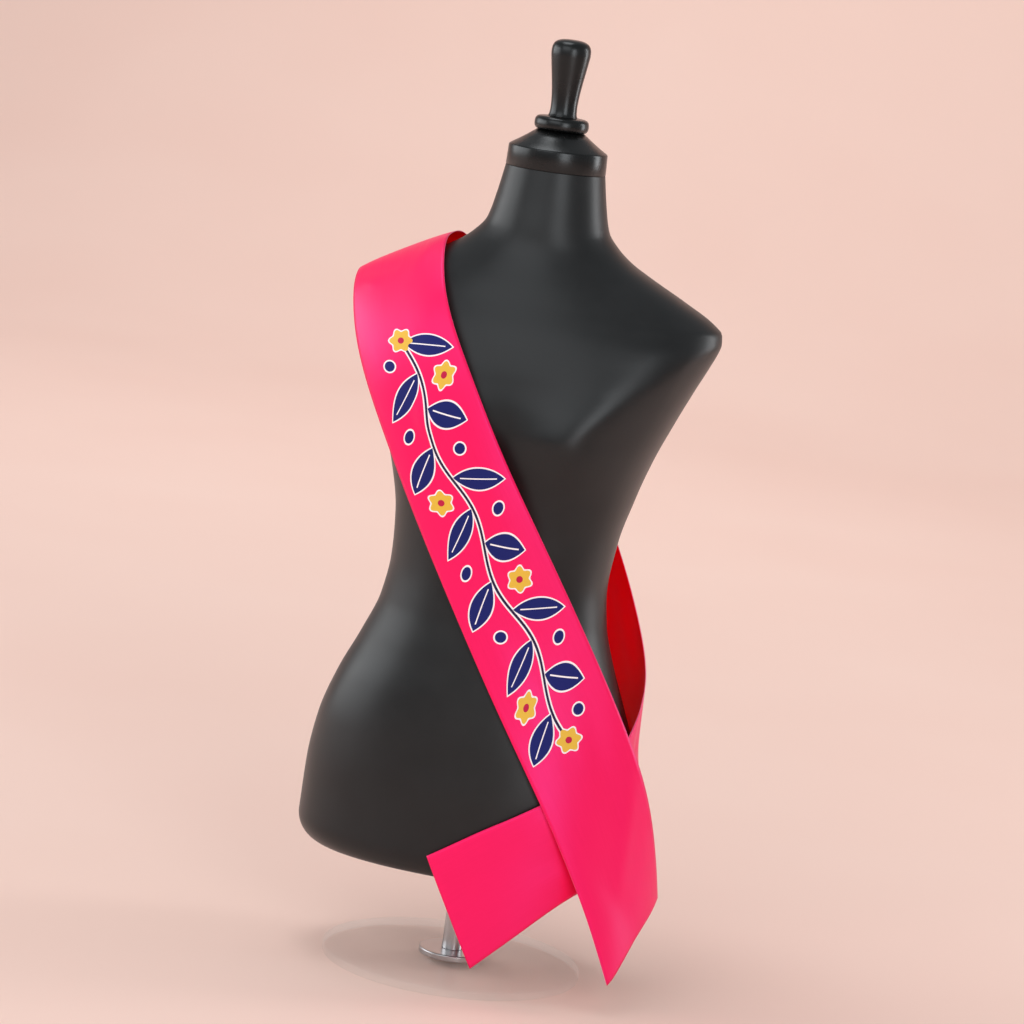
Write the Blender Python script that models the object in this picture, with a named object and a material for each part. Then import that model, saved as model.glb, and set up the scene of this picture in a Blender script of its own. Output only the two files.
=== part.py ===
"""A satin sash, worn from the right shoulder to the left hip of a limbless dress form.

Metres, +Z up, front of the form towards -Y, its left side towards +X.
The origin is the centre of the base plate's underside.
"""
import math

import bmesh
import bpy
from mathutils import Vector
from mathutils.bvhtree import BVHTree

# Driving sizes
WALL = 0.0012              # thickness of the cloth
SEAM_GAP = 0.0004          # between the stretches where they join
FORM_CLEAR = 0.0022        # least space between the corners of the cloth's inner faces and the form
NECK_TOP = 0.772           # height of the torso's upper edge, under the neck cap
TORSO_BOTTOM = 0.102       # height of the torso's flat underside
BOTTOM_ROUND = 0.028       # radius of the torso's lower edge
SEAT_GAP = 0.0003          # between pieces that rest on each other

RING_POINTS = 52           # points round the torso
RINGS_PER_ROW = 2          # rings from each row of the table to the next
BOTTOM_RINGS = 6           # rings over the rounded lower edge
ROUND_POINTS = 32          # points round a turned piece
STEPS_PER_ROW = 3          # sections of cloth from each row of the table to the next
STEPS_ACROSS = 8           # points across the cloth

# Torso sections. below: distance under the neck's top; half_width, front and back: from the section's
# middle; corner: 2 is an ellipse, more is squarer; lean: how far the middle lies to the left.
TORSO_COLUMNS = ("below", "half_width", "front", "back", "corner", "lean")
TORSO_ROWS = (
    (0.000, 0.0470, 0.0470, 0.0470, 2.00, 0.0000),
    (0.028, 0.0520, 0.0510, 0.0530, 2.00, 0.0000),
    (0.052, 0.0580, 0.0550, 0.0610, 2.00, 0.0000),
    (0.066, 0.0690, 0.0570, 0.0670, 2.00, 0.0000),
    (0.078, 0.0840, 0.0600, 0.0720, 2.00, 0.0000),
    (0.090, 0.1060, 0.0640, 0.0770, 2.00, 0.0000),
    (0.106, 0.1385, 0.0700, 0.0825, 2.00, 0.0000),
    (0.122, 0.1668, 0.0760, 0.0875, 2.00, 0.0010),
    (0.131, 0.1758, 0.0795, 0.0900, 2.05, 0.0015),
    (0.140, 0.1766, 0.0830, 0.0925, 2.15, 0.0015),
    (0.150, 0.1739, 0.0865, 0.0950, 2.25, 0.0013),
    (0.163, 0.1690, 0.0905, 0.0970, 2.30, 0.0005),
    (0.190, 0.1570, 0.0965, 0.0995, 2.35, 0.0000),
    (0.221, 0.1435, 0.1000, 0.0990, 2.35, 0.0000),
    (0.260, 0.1280, 0.0980, 0.0940, 2.30, 0.0000),
    (0.298, 0.1165, 0.0945, 0.0865, 2.20, 0.0000),
    (0.340, 0.1075, 0.0910, 0.0770, 2.10, -0.0010),
    (0.382, 0.1045, 0.0900, 0.0710, 2.10, -0.0024),
    (0.420, 0.1090, 0.0920, 0.0740, 2.10, -0.0030),
    (0.460, 0.1223, 0.0970, 0.0860, 2.10, -0.0045),
    (0.500, 0.1388, 0.1020, 0.1020, 2.15, -0.0055),
    (0.545, 0.1540, 0.1055, 0.1160, 2.20, -0.0042),
    (0.590, 0.1615, 0.1075, 0.1220, 2.20, -0.0025),
    (0.642, 0.1641, 0.1065, 0.1220, 2.20, -0.0012),
)

# The bust: a soft swell on each side of the chest, whose ridge runs up to the shoulder's tip
BUST_OUT = 0.072           # from the middle to its fullest point
BUST_BELOW = 0.243         # under the neck's top
BUST_SWELL = 0.019
BUST_INNER = 0.046         # how fast it fades towards the middle
BUST_OUTER = 0.036         # and towards the side
BUST_FALL = 0.042          # and below its fullest point
RIDGE_OUT = 0.172          # the ridge's upper end, from the middle
RIDGE_BELOW = 0.138
RIDGE_SWELL = 0.003
RIDGE_THIN = 0.8           # how early the bust thins into the ridge
RIDGE_EASE = 0.25          # how rounded the start of that rise is
RIDGE_SPREAD = 0.6         # how much wider its inner side gets towards the tip
RIDGE_TIGHTEN = 0.5        # and how much steeper its outer side
RIDGE_FADE = 0.021         # how fast the ridge fades above its tip
SIDE_BLEND = 0.5           # share of the front's depth over which the swell grows from the sides

# Sections of the sash along its length, from the end at the left hip, up the front, over the right
# shoulder, down the back and round the left hip to the other end. arm: the edge nearer the right
# arm; neck: the other edge; width: edge to edge; bow: how far the middle stands out of a straight
# line between the edges.
SASH_COLUMNS = ("arm_x", "arm_y", "arm_z", "neck_x", "neck_y", "neck_z", "width", "bow")
SASH_ROWS = (
    (0.1685, -0.088, 0.0305, 0.195, 0.006, 0.050, 0.101, 0.007),
    (0.152, -0.091, 0.070, 0.193, -0.002, 0.085, 0.101, 0.008),
    (0.136, -0.095, 0.105, 0.189, -0.011, 0.120, 0.101, 0.008),
    (0.115, -0.099, 0.146, 0.182, -0.027, 0.164, 0.101, 0.007),
    (0.092, -0.103, 0.188, 0.172, -0.045, 0.207, 0.102, 0.006),
    (0.061, -0.105, 0.236, 0.152, -0.062, 0.258, 0.103, 0.004),
    (0.023, -0.104, 0.293, 0.123, -0.076, 0.316, 0.104, 0.003),
    (-0.013, -0.101, 0.352, 0.087, -0.088, 0.377, 0.104, 0.003),
    (-0.051, -0.099, 0.415, 0.049, -0.101, 0.441, 0.104, 0.005),
    (-0.086, -0.096, 0.475, 0.010, -0.111, 0.505, 0.104, 0.008),
    (-0.118, -0.090, 0.529, -0.022, -0.111, 0.564, 0.104, 0.008),
    (-0.143, -0.075, 0.572, -0.054, -0.101, 0.618, 0.104, 0.007),
    (-0.158, -0.057, 0.602, -0.072, -0.082, 0.651, 0.103, 0.006),
    (-0.167, -0.042, 0.624, -0.082, -0.057, 0.676, 0.100, 0.005),
    (-0.172, -0.024, 0.643, -0.090, -0.029, 0.693, 0.098, 0.003),
    (-0.173, 0.002, 0.656, -0.093, 0.000, 0.698, 0.096, 0.002),
    (-0.171, 0.031, 0.651, -0.088, 0.029, 0.699, 0.099, 0.002),
    (-0.163, 0.057, 0.630, -0.083, 0.054, 0.686, 0.101, 0.004),
    (-0.151, 0.078, 0.599, -0.074, 0.077, 0.661, 0.103, 0.006),
    (-0.134, 0.092, 0.560, -0.056, 0.097, 0.630, 0.104, 0.005),
    (-0.107, 0.100, 0.520, -0.028, 0.107, 0.588, 0.104, 0.004),
    (-0.078, 0.103, 0.482, 0.004, 0.109, 0.546, 0.104, 0.003),
    (-0.048, 0.104, 0.441, 0.036, 0.104, 0.502, 0.104, 0.003),
    (-0.016, 0.106, 0.400, 0.067, 0.090, 0.459, 0.104, 0.003),
    (0.018, 0.108, 0.360, 0.097, 0.071, 0.416, 0.104, 0.004),
    (0.052, 0.109, 0.316, 0.123, 0.052, 0.365, 0.104, 0.005),
    (0.088, 0.104, 0.270, 0.143, 0.033, 0.320, 0.104, 0.006),
    (0.120, 0.086, 0.225, 0.150, 0.012, 0.288, 0.104, 0.005),
    (0.143, 0.058, 0.187, 0.148, -0.006, 0.263, 0.104, 0.004),
    (0.157, 0.028, 0.160, 0.143, -0.026, 0.241, 0.104, 0.004),
    (0.161, -0.006, 0.143, 0.131, -0.060, 0.223, 0.103, 0.005),
    (0.152, -0.038, 0.131, 0.112, -0.084, 0.208, 0.101, 0.006),
    (0.134, -0.064, 0.118, 0.089, -0.098, 0.191, 0.098, 0.006),
    (0.112, -0.084, 0.102, 0.063, -0.105, 0.174, 0.096, 0.005),
    (0.088, -0.098, 0.079, 0.038, -0.109, 0.159, 0.101, 0.004),
    (0.064, -0.106, 0.052, 0.012, -0.111, 0.144, 0.106, 0.003),
    (0.041, -0.110, 0.028, -0.014, -0.111, 0.128, 0.112, 0.002),
)
SHOULDER_ROW = 15          # where the front stretch meets the back one
SIDE_ROW = 27              # where the back stretch meets the tail
FRONT_CUT = 1.45           # rows by which the neck edge is shorter, at the slanting front end
EVEN_OUT = 3               # times that each section is averaged with its neighbours
CROWN_POWER = 3.0          # 2 is a round bow across the cloth, more is flatter with turned edges

# Turned pieces: radius and height above the neck's top, from the bottom up
CAP_PROFILE = (
    (0.0466, 0.0003), (0.0472, 0.0009), (0.0468, 0.0190), (0.0462, 0.0197),
    (0.0385, 0.0248), (0.0300, 0.0306), (0.0225, 0.0362),
)
COLLAR_PROFILE = (
    (0.0205, 0.0365), (0.0232, 0.0371), (0.0250, 0.0391), (0.0256, 0.0428), (0.0250, 0.0465),
    (0.0231, 0.0487), (0.0200, 0.0495), (0.0150, 0.0498),
)
HANDLE_PROFILE = (
    (0.0138, 0.0501), (0.0128, 0.0535), (0.0125, 0.0605), (0.0131, 0.0700), (0.0146, 0.0820),
    (0.0163, 0.0930), (0.0178, 0.1030), (0.0185, 0.1095), (0.0179, 0.1150), (0.0155, 0.1190),
    (0.0105, 0.1213), (0.0045, 0.1221),
)

# Stand
PLATE_RADIUS = 0.125
PLATE_THICK = 0.008
PLATE_BEVEL = 0.0012
FLANGE_RADIUS = 0.032
FLANGE_THICK = 0.006
ROD_RADIUS = 0.010


def clear_scene():
    for item in list(bpy.data.objects):
        bpy.data.objects.remove(item, do_unlink=True)


def material(name, colour, roughness, metallic=0.0, alpha=1.0):
    made = bpy.data.materials.new(name)
    made.use_nodes = True
    shader = made.node_tree.nodes["Principled BSDF"]
    shader.inputs["Base Color"].default_value = (*colour, 1.0)
    shader.inputs["Roughness"].default_value = roughness
    shader.inputs["Metallic"].default_value = metallic
    shader.inputs["Alpha"].default_value = alpha
    return made


def add_object(name, mesh_data, surface, smooth_angle=40):
    """Make an object of a bmesh, with its faces out, and give it its material."""
    bmesh.ops.recalc_face_normals(mesh_data, faces=mesh_data.faces)
    mesh = bpy.data.meshes.new(name)
    mesh_data.to_mesh(mesh)
    mesh_data.free()
    mesh.materials.append(surface)
    mesh.shade_smooth()
    mesh.set_sharp_from_angle(angle=math.radians(smooth_angle))
    made = bpy.data.objects.new(name, mesh)
    bpy.context.scene.collection.objects.link(made)
    return made


def smooth_value(rows, column, key):
    """Value of a column at key, on a smooth curve through the rows that does not overshoot."""
    keys = [row[0] for row in rows]
    values = [row[column] for row in rows]
    last = len(rows) - 1
    if key <= keys[0]:
        return values[0]
    if key >= keys[last]:
        return values[last]
    slopes = [(values[i + 1] - values[i]) / (keys[i + 1] - keys[i]) for i in range(last)]

    def tangent(i):
        if i == 0 or i == last:
            return slopes[min(i, last - 1)]
        if slopes[i - 1] * slopes[i] <= 0.0:
            return 0.0
        return 2.0 * slopes[i - 1] * slopes[i] / (slopes[i - 1] + slopes[i])

    span = max(i for i in range(last) if keys[i] <= key)
    length = keys[span + 1] - keys[span]
    t = (key - keys[span]) / length
    return (
        (2 * t ** 3 - 3 * t ** 2 + 1) * values[span]
        + (t ** 3 - 2 * t ** 2 + t) * length * tangent(span)
        + (3 * t ** 2 - 2 * t ** 3) * values[span + 1]
        + (t ** 3 - t ** 2) * length * tangent(span + 1)
    )


def bust_swell(x, below):
    """How far the bust and its ridge stand out of the chest here."""
    rise = min(1.0, max(0.0, (BUST_BELOW - below) / (BUST_BELOW - RIDGE_BELOW)))
    rise *= rise * (1.0 + RIDGE_EASE) / (rise + RIDGE_EASE)
    centre = BUST_OUT + (RIDGE_OUT - BUST_OUT) * rise
    height = BUST_SWELL + (RIDGE_SWELL - BUST_SWELL) * rise ** RIDGE_THIN
    side = abs(x) - centre
    if side < 0.0:
        side /= BUST_INNER * (1.0 + RIDGE_SPREAD * rise)
    else:
        side /= BUST_OUTER * (1.0 - RIDGE_TIGHTEN * rise)
    drop = max(0.0, below - BUST_BELOW) / BUST_FALL
    above = max(0.0, RIDGE_BELOW - below) / RIDGE_FADE
    return height * math.exp(-side * side - drop * drop - above * above)


def signed_power(value, power):
    return math.copysign(abs(value) ** power, value)


def torso_ring(below, inset=0.0):
    """Points of one section of the torso, counter-clockwise seen from above."""
    half_width, front, back, corner, lean = (
        smooth_value(TORSO_ROWS, TORSO_COLUMNS.index(name), below)
        for name in TORSO_COLUMNS[1:]
    )
    power = 2.0 / corner
    points = []
    for step in range(RING_POINTS):
        angle = 2.0 * math.pi * step / RING_POINTS
        x = (half_width - inset) * signed_power(math.cos(angle), power)
        depth = (back if math.sin(angle) > 0.0 else front) - inset
        y = depth * signed_power(math.sin(angle), power)
        if y < 0.0:
            y -= bust_swell(x, below) * min(1.0, -y / (SIDE_BLEND * front))
        points.append((x + lean, y))
    return points


def loft(rings):
    """Closed body through rings of equal length, flat at both ends."""
    body = bmesh.new()
    loops = [[body.verts.new(point) for point in ring] for ring in rings]
    count = len(loops[0])
    for lower, upper in zip(loops, loops[1:]):
        for i in range(count):
            j = (i + 1) % count
            body.faces.new((lower[i], lower[j], upper[j], upper[i]))
    body.faces.new(loops[0])
    body.faces.new(loops[-1])
    return body


def build_torso(surface):
    lowest = NECK_TOP - TORSO_BOTTOM - BOTTOM_ROUND
    rings = []
    for row, following in zip(TORSO_ROWS, TORSO_ROWS[1:]):
        for part in range(RINGS_PER_ROW):
            below = row[0] + (following[0] - row[0]) * part / RINGS_PER_ROW
            rings.append([(x, y, NECK_TOP - below) for x, y in torso_ring(below)])
    for step in range(BOTTOM_RINGS + 1):
        turn = 0.5 * math.pi * step / BOTTOM_RINGS
        inset = BOTTOM_ROUND * (1.0 - math.cos(turn))
        height = TORSO_BOTTOM + BOTTOM_ROUND * (1.0 - math.sin(turn))
        rings.append([(x, y, height) for x, y in torso_ring(lowest, inset)])
    return add_object("torso", loft(rings[::-1]), surface, 60)


def turned(name, profile, surface, base=NECK_TOP):
    """A round piece from its profile of radius and height, closed at both ends."""
    rings = []
    for radius, height in profile:
        rings.append([
            (
                radius * math.cos(2.0 * math.pi * step / ROUND_POINTS),
                radius * math.sin(2.0 * math.pi * step / ROUND_POINTS),
                base + height,
            )
            for step in range(ROUND_POINTS)
        ])
    return add_object(name, loft(rings), surface)


def build_form():
    shell = material("charcoal_shell", (0.045, 0.045, 0.048), 0.45)
    gloss = material("charcoal_gloss", (0.030, 0.030, 0.032), 0.25)
    steel = material("satin_steel", (0.55, 0.55, 0.56), 0.30, 1.0)
    glass = material("clear_glass", (0.85, 0.92, 0.90), 0.05, 0.0, 0.35)
    torso = build_torso(shell)
    turned("neck_cap", CAP_PROFILE, gloss)
    turned("finial_collar", COLLAR_PROFILE, gloss)
    turned("finial_handle", HANDLE_PROFILE, gloss)
    plate = (
        (PLATE_RADIUS - PLATE_BEVEL, 0.0), (PLATE_RADIUS, PLATE_BEVEL),
        (PLATE_RADIUS, PLATE_THICK - PLATE_BEVEL), (PLATE_RADIUS - PLATE_BEVEL, PLATE_THICK),
    )
    turned("base_plate", plate, glass, 0.0)
    flange_low = PLATE_THICK + SEAT_GAP
    flange_top = flange_low + FLANGE_THICK
    flange = (
        (FLANGE_RADIUS, flange_low), (FLANGE_RADIUS, flange_top - PLATE_BEVEL),
        (FLANGE_RADIUS - PLATE_BEVEL, flange_top),
    )
    turned("stand_flange", flange, steel, 0.0)
    rod = ((ROD_RADIUS, flange_top + SEAT_GAP), (ROD_RADIUS, TORSO_BOTTOM - SEAT_GAP))
    turned("stand_rod", rod, steel, 0.0)
    return torso


def curve_value(before, low, high, after, share):
    """Value on a smooth curve through four evenly spaced ones, between the middle two."""
    return low + 0.5 * share * (
        high - before
        + share * (2.0 * before - 5.0 * low + 4.0 * high - after)
        + share * share * (3.0 * (low - high) + after - before)
    )


def sash_sections():
    """Sections on smooth curves through the rows of the table, evened out along the sash."""
    last = len(SASH_ROWS) - 1
    sections = []
    for step in range(last * STEPS_PER_ROW + 1):
        row = min(step // STEPS_PER_ROW, last - 1)
        share = step / STEPS_PER_ROW - row
        around = [SASH_ROWS[min(max(row + i, 0), last)] for i in (-1, 0, 1, 2)]
        sections.append([curve_value(*values, share) for values in zip(*around)])
    for _ in range(EVEN_OUT):
        sections = [sections[0]] + [
            [0.25 * a + 0.5 * b + 0.25 * c for a, b, c in zip(before, here, after)]
            for before, here, after in zip(sections, sections[1:], sections[2:])
        ] + [sections[-1]]
    return sections


def sash_point(sections, at, across):
    """Point of the sash's inner face: at counts rows along it, across runs from arm edge to neck."""
    place = min(max(at * STEPS_PER_ROW, 0.0), len(sections) - 1.0)
    index = min(int(place), len(sections) - 2)
    share = place - index
    here = [low + (high - low) * share for low, high in zip(sections[index], sections[index + 1])]
    arm, neck = Vector(here[0:3]), Vector(here[3:6])
    width, bow = here[6], here[7]
    middle = 0.5 * (arm + neck)
    side = (neck - arm).normalized()
    along = Vector(sections[index + 1][0:3]) - Vector(sections[index][0:3])
    along += Vector(sections[index + 1][3:6]) - Vector(sections[index][3:6])
    out = side.cross(along.normalized())
    square = out.length
    crown = 1.0 - abs(2.0 * across - 1.0) ** CROWN_POWER
    return middle + side * width / square * (across - 0.5) + out / square * bow * crown


def held_off(point, tree):
    """The point, moved out along the form's surface normal where it is too close to the form."""
    nearest, normal, _, _ = tree.find_nearest(point)
    short = FORM_CLEAR - (point - nearest).dot(normal)
    return point + normal * short if short > 0.0 else point


def build_stretch(name, sections, tree, first, last, surface, cut=0.0):
    """One stretch of the sash, from row first to row last, as a closed wall of cloth."""
    steps = round((last - first) * STEPS_PER_ROW)
    inner = []
    for step in range(steps + 1):
        line = []
        for column in range(STEPS_ACROSS + 1):
            across = column / STEPS_ACROSS
            start = first + cut * across
            at = start + (last - start) * step / steps
            line.append(held_off(sash_point(sections, at, across), tree))
        inner.append(line)

    def normal_at(step, column):
        along = inner[min(step + 1, steps)][column] - inner[max(step - 1, 0)][column]
        side = inner[step][min(column + 1, STEPS_ACROSS)] - inner[step][max(column - 1, 0)]
        return side.cross(along).normalized()

    body = bmesh.new()
    under = [[body.verts.new(point) for point in line] for line in inner]
    over = [
        [
            body.verts.new(point + normal_at(step, column) * WALL)
            for column, point in enumerate(line)
        ]
        for step, line in enumerate(inner)
    ]
    for grid in (under, over):
        for line, following in zip(grid, grid[1:]):
            for column in range(STEPS_ACROSS):
                body.faces.new((
                    line[column], line[column + 1], following[column + 1], following[column],
                ))
    for column in (0, STEPS_ACROSS):
        for step in range(steps):
            body.faces.new((
                under[step][column], under[step + 1][column],
                over[step + 1][column], over[step][column],
            ))
    for step in (0, steps):
        for column in range(STEPS_ACROSS):
            body.faces.new((
                under[step][column], under[step][column + 1],
                over[step][column + 1], over[step][column],
            ))
    return add_object(name, body, surface, 50)


def half_seam(sections, row):
    """Half of the gap between two stretches that meet at a row, counted in rows."""
    here, following = sections[row * STEPS_PER_ROW], sections[(row + 1) * STEPS_PER_ROW]
    spacing = min(
        (Vector(following[0:3]) - Vector(here[0:3])).length,
        (Vector(following[3:6]) - Vector(here[3:6])).length,
    )
    return 0.5 * SEAM_GAP / spacing


def build_sash(torso):
    satin = material("pink_satin", (0.95, 0.03, 0.16), 0.38)
    sections = sash_sections()
    tree = BVHTree.FromPolygons(
        [vertex.co.copy() for vertex in torso.data.vertices],
        [tuple(face.vertices) for face in torso.data.polygons],
    )
    over, side = half_seam(sections, SHOULDER_ROW), half_seam(sections, SIDE_ROW)
    build_stretch("sash_front", sections, tree, 0, SHOULDER_ROW - over, satin, FRONT_CUT)
    build_stretch("sash_back", sections, tree, SHOULDER_ROW + over, SIDE_ROW - side, satin)
    build_stretch("sash_tail", sections, tree, SIDE_ROW + side, len(SASH_ROWS) - 1, satin)


clear_scene()
build_sash(build_form())
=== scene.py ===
import math

import bmesh
import bpy
import numpy as np
from mathutils import Matrix, Vector
from mathutils.bvhtree import BVHTree


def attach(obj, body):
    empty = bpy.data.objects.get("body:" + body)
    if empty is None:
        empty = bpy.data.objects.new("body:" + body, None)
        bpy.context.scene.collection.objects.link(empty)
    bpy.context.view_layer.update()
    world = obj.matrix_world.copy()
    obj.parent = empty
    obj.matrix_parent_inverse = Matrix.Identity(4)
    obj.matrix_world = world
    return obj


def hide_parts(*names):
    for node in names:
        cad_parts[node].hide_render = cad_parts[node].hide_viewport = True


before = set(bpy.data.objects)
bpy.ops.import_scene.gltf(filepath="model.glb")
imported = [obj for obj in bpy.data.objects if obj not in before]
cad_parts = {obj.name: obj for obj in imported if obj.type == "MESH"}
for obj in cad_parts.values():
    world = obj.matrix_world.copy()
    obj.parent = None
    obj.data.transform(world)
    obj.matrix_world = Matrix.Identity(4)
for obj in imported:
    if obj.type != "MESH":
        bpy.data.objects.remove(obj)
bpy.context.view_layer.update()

print("loaded", len(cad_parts), "solids")


# small helpers

def linear(hexColour):
    # sRGB hex to the linear values that shaders use, opaque
    parts = [int(hexColour[i:i + 2], 16) / 255 for i in (1, 3, 5)]
    return [p / 12.92 if p <= 0.04045 else ((p + 0.055) / 1.055) ** 2.4 for p in parts] + [1.0]


def addNode(tree, kind, settings=None, links=None):
    # settings are the node's own options, links are its inputs: a socket, or a plain value
    node = tree.nodes.new(kind)
    for name, value in (settings or {}).items():
        setattr(node, name, value)
    for name, value in (links or {}).items():
        if isinstance(value, bpy.types.NodeSocket):
            tree.links.new(value, node.inputs[name])
        else:
            node.inputs[name].default_value = value
    return node


def newMaterial(name, settings):
    # an empty principled material with its constants set on the shader's own sockets
    made = bpy.data.materials.new(name)
    made.use_nodes = True
    shader = made.node_tree.nodes["Principled BSDF"]
    for socket, value in settings.items():
        shader.inputs[socket].default_value = value
    return made, made.node_tree, shader


def finishPiece(name, bm, materials, replaced, smoothAngle=None):
    mesh = bpy.data.meshes.new(name)
    bm.to_mesh(mesh)
    bm.free()
    for material in materials:
        mesh.materials.append(material)
    mesh.shade_smooth()
    if smoothAngle:
        mesh.set_sharp_from_angle(angle=math.radians(smoothAngle))
    piece = bpy.data.objects.new(name, mesh)
    bpy.context.scene.collection.objects.link(piece)
    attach(piece, "root")
    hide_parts(*replaced)
    return piece


weldDistance = 0.00002


def closeSkin(bm):
    # points that meet are welded, open ends are capped and the faces look outwards
    bmesh.ops.remove_doubles(bm, verts=bm.verts, dist=weldDistance)
    bmesh.ops.holes_fill(bm, edges=[edge for edge in bm.edges if edge.is_boundary], sides=0)
    bmesh.ops.recalc_face_normals(bm, faces=bm.faces)


def placeGrid(columns, rows, place):
    # a grid whose points are put where place(across, along) says, both from 0 to 1
    bm = bmesh.new()
    bm.loops.layers.uv.new("UVMap")
    bmesh.ops.create_grid(bm, x_segments=columns, y_segments=rows, size=1.0, calc_uvs=True)
    for vert in bm.verts:
        vert.co = place(0.5 * (vert.co.x + 1.0), 0.5 * (vert.co.y + 1.0))
    return bm


def smoothValue(rows, column, key):
    # a curve through the rows that doesn't overshoot
    keys = [row[0] for row in rows]
    values = [row[column] for row in rows]
    last = len(rows) - 1
    if key <= keys[0] or key >= keys[last]:
        return values[0] if key <= keys[0] else values[last]
    slopes = [(values[i + 1] - values[i]) / (keys[i + 1] - keys[i]) for i in range(last)]

    def tangent(i):
        if i in (0, last):
            return slopes[min(i, last - 1)]
        if slopes[i - 1] * slopes[i] <= 0.0:
            return 0.0
        return 2.0 * slopes[i - 1] * slopes[i] / (slopes[i - 1] + slopes[i])

    span = max(i for i in range(last) if keys[i] <= key)
    length = keys[span + 1] - keys[span]
    t = (key - keys[span]) / length
    return ((2 * t ** 3 - 3 * t ** 2 + 1) * values[span] + (t ** 3 - 2 * t ** 2 + t) * length * tangent(span)
            + (3 * t ** 2 - 2 * t ** 3) * values[span + 1] + (t ** 3 - t ** 2) * length * tangent(span + 1))


def curveThrough(rows, steps):
    # rows of numbers, with steps - 1 more between each two on a smooth curve
    rows = np.asarray(rows, float)
    last = len(rows) - 1
    at = np.arange(last * steps + 1) / steps
    row = np.minimum(at.astype(int), last - 1)
    share = (at - row)[:, None]
    a, b, c, d = (rows[np.clip(row + i, 0, last)] for i in (-1, 0, 1, 2))
    return b + 0.5 * share * (
        c - a + share * (2 * a - 5 * b + 4 * c - d) + share ** 2 * (3 * (b - c) + d - a))


# materials of the form and its stand

def makeShellMaterial(name, settings):
    # moulded ABS: a smooth, half matt skin with a very fine orange peel and a few duller, dusty clouds
    material, tree, shader = newMaterial(name, {
        "IOR": settings["ior"], "Specular IOR Level": settings["specular"],
        "Specular Tint": linear(settings["specularTint"]),
    })
    place = addNode(tree, "ShaderNodeTexCoord")
    clouds = addNode(tree, "ShaderNodeTexNoise", None, {
        "Vector": place.outputs["Object"], "Scale": 1.0 / settings["cloudSize"],
        "Detail": 3.0, "Roughness": 0.55,
    })
    colour = addNode(tree, "ShaderNodeValToRGB", None, {"Fac": clouds.outputs["Fac"]})
    for element, position, key in zip(colour.color_ramp.elements, settings["cloudRange"], ("dark", "light")):
        element.position = position
        element.color = linear(settings[key])
    tree.links.new(colour.outputs["Color"], shader.inputs["Base Color"])
    dull = addNode(tree, "ShaderNodeMapRange", None, {
        "Value": clouds.outputs["Fac"],
        "From Min": settings["cloudRange"][0], "From Max": settings["cloudRange"][1],
        "To Min": settings["smooth"], "To Max": settings["dull"],
    })
    tree.links.new(dull.outputs["Result"], shader.inputs["Roughness"])
    peel = addNode(tree, "ShaderNodeTexNoise", None, {
        "Vector": place.outputs["Object"], "Scale": 1.0 / settings["peelSize"], "Detail": 1.0,
    })
    bump = addNode(tree, "ShaderNodeBump", None, {
        "Height": peel.outputs["Fac"], "Strength": settings["peelStrength"],
        "Distance": settings["peelDepth"],
    })
    tree.links.new(bump.outputs["Normal"], shader.inputs["Normal"])
    return material


shellSkin = {
    "dark": "#151617", "light": "#1b1c1d", "smooth": 0.35, "dull": 0.42,
    "ior": 1.5, "specular": 0.44, "specularTint": "#e6ebee",
    "cloudSize": 0.060, "cloudRange": (0.3, 0.7),
    "peelSize": 0.0025, "peelDepth": 0.0002, "peelStrength": 0.12,
}
glossSkin = {
    "dark": "#0a0b0b", "light": "#0f1010", "smooth": 0.25, "dull": 0.32,
    "ior": 1.5, "specular": 0.48, "specularTint": "#e6ecf0",
    "cloudSize": 0.030, "cloudRange": (0.3, 0.7),
    "peelSize": 0.0030, "peelDepth": 0.0002, "peelStrength": 0.08,
}
shellMaterial = makeShellMaterial("mouldedAbsShell", shellSkin)
glossMaterial = makeShellMaterial("polishedAbsCap", glossSkin)


steelSkin = {
    "colour": "#b9b9bb", "lineGap": 0.0011, "lineSpread": 12.0,    # 1.1 mm lines, coarser than real
    "smooth": 0.24, "dull": 0.40, "lineStrength": 0.15, "lineDepth": 0.0002,
}
glassSkin = {"colour": "#eef5f3", "ior": 1.5, "alpha": 0.12, "dustSize": 0.02, "smooth": 0.03, "dull": 0.09}


def makeSteelMaterial():
    # satin stainless steel: turned, so the grain runs round it and the light lies along it in soft streaks
    skin = steelSkin
    material, tree, shader = newMaterial("turnedSatinSteel", {
        "Metallic": 1.0, "Base Color": linear(skin["colour"]),
    })
    place = addNode(tree, "ShaderNodeTexCoord")
    grain = addNode(tree, "ShaderNodeMapping", None, {
        "Vector": place.outputs["Object"],
        "Scale": (skin["lineSpread"], skin["lineSpread"], 1.0 / skin["lineGap"]),
    })
    lines = addNode(tree, "ShaderNodeTexNoise", None, {
        "Vector": grain.outputs["Vector"], "Scale": 1.0, "Detail": 2.0,
    })
    rough = addNode(tree, "ShaderNodeMapRange", None, {
        "Value": lines.outputs["Fac"], "To Min": skin["smooth"], "To Max": skin["dull"],
    })
    tree.links.new(rough.outputs["Result"], shader.inputs["Roughness"])
    bump = addNode(tree, "ShaderNodeBump", None, {
        "Height": lines.outputs["Fac"], "Strength": skin["lineStrength"], "Distance": skin["lineDepth"],
    })
    tree.links.new(bump.outputs["Normal"], shader.inputs["Normal"])
    return material


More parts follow.
